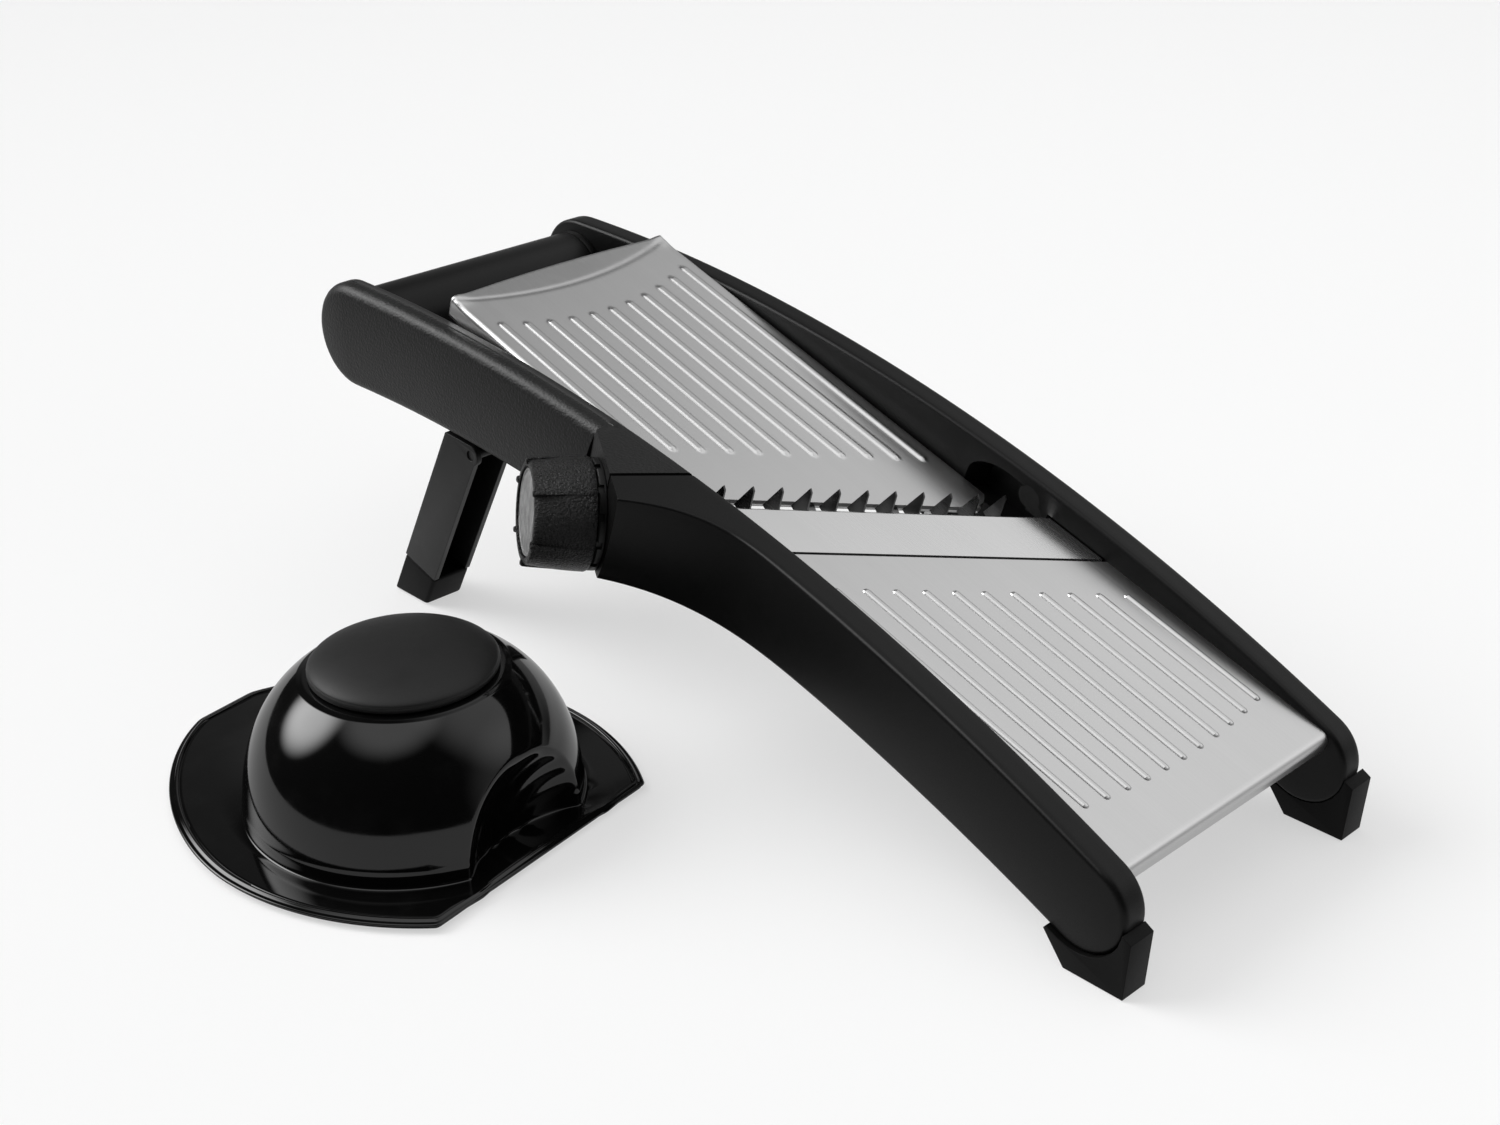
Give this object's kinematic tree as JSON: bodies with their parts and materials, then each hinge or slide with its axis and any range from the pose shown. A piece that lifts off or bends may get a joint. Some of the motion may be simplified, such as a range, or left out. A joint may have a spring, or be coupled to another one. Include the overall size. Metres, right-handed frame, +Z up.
{
  "type": "mandoline slicer",
  "caption": "Mandoline slicer with arched side rails, ribbed steel run-out plate and ramp, a diagonal blade, a thickness dial, julienne teeth, folding rear legs and a domed food holder",
  "frame": {"origin": "on the table, in the middle of the sole of the right front foot", "axes": "+X along the slicer to its discharge end, +Y across to its left rail, +Z up"},
  "size_m": [0.441, 0.3116, 0.1445],
  "materials": {
    "soft_black": "soft-touch matte, fine grain",
    "black_plastic": "satin moulded",
    "gloss_black": "polished",
    "steel": "fine brushed",
    "pale_disc": "brushed",
    "rubber": "matte"
  },
  "bodies": {
    "frame": {"rail_left": "soft_black", "rail_right_rear": "soft_black", "rail_right_front": "soft_black", "hand_bar": "soft_black", "runout_plate": "steel", "runout_bed": "black_plastic", "blade_seat": "black_plastic", "comb_guide_left": "black_plastic", "comb_guide_right": "black_plastic", "dial_bush": "black_plastic", "dial_collar": "black_plastic", "leg_bracket_left": "black_plastic", "leg_bracket_right": "black_plastic", "leg_pin_left": "steel", "leg_pin_right": "steel", "front_foot_left": "rubber", "front_foot_right": "rubber"},
    "ramp": {"ramp_plate": "steel", "ramp_frame": "black_plastic", "guide_rod_upper": "steel", "guide_rod_lower": "steel"},
    "dial": {"dial_grip": "black_plastic", "dial_face": "pale_disc", "cam_shaft": "steel"},
    "comb": {"comb_teeth": "steel", "comb_bar": "steel"},
    "cassette": {"blade": "steel", "blade_carrier": "black_plastic"},
    "legs": {"leg_left": "black_plastic", "leg_right": "black_plastic", "leg_crossbar": "steel", "leg_foot_left": "rubber", "leg_foot_right": "rubber"},
    "holder": {"holder_shell": "gloss_black", "stem_guide": "black_plastic"},
    "plunger": {"palm_cap": "soft_black", "plunger_stem": "black_plastic", "prong_plate": "black_plastic", "prongs": "steel", "holder_spring": "steel"}
  },
  "joints": [
    {"name": "dial_turn", "type": "hinge", "parent": "frame", "child": "dial", "pos_m": [-0.23137, -0.01632, 0.09379], "axis": [0.4821, 0.8616, -0.1585], "range_deg": [0, 150]},
    {"name": "ramp_lift", "type": "slide", "parent": "frame", "child": "ramp", "axis": [0.3123, 0, 0.95], "range_m": [0, 0.009]},
    {"name": "comb_drop", "type": "slide", "parent": "frame", "child": "comb", "axis": [0.3123, 0, 0.95], "range_m": [-0.0044, 0]},
    {"name": "cassette_slide", "type": "slide", "parent": "frame", "child": "cassette", "axis": [0.4821, 0.8616, -0.1585], "range_m": [0, 0.145]},
    {"name": "leg_fold", "type": "hinge", "parent": "frame", "child": "legs", "pos_m": [-0.32604, 0.06365, 0.08371], "axis": [0, -1, 0], "range_deg": [0, 111]},
    {"name": "holder_lift", "type": "slide", "parent": "frame", "child": "holder", "axis": [0, -0.6, 0.8], "range_m": [0, 0.12]},
    {"name": "plunger_slide", "type": "slide", "parent": "holder", "child": "plunger", "axis": [0, 0, 1], "range_m": [0, 0.02], "stiffness_N_per_m": 60, "springref_m": -0.01, "deforming": ["holder_spring"]}
  ],
  "couplings": [
    {"joint": "dial_turn", "follows": "ramp_lift", "rad_per_m": 290.89},
    {"joint": "comb_drop", "follows": "ramp_lift", "ratio": -0.48889}
  ]
}
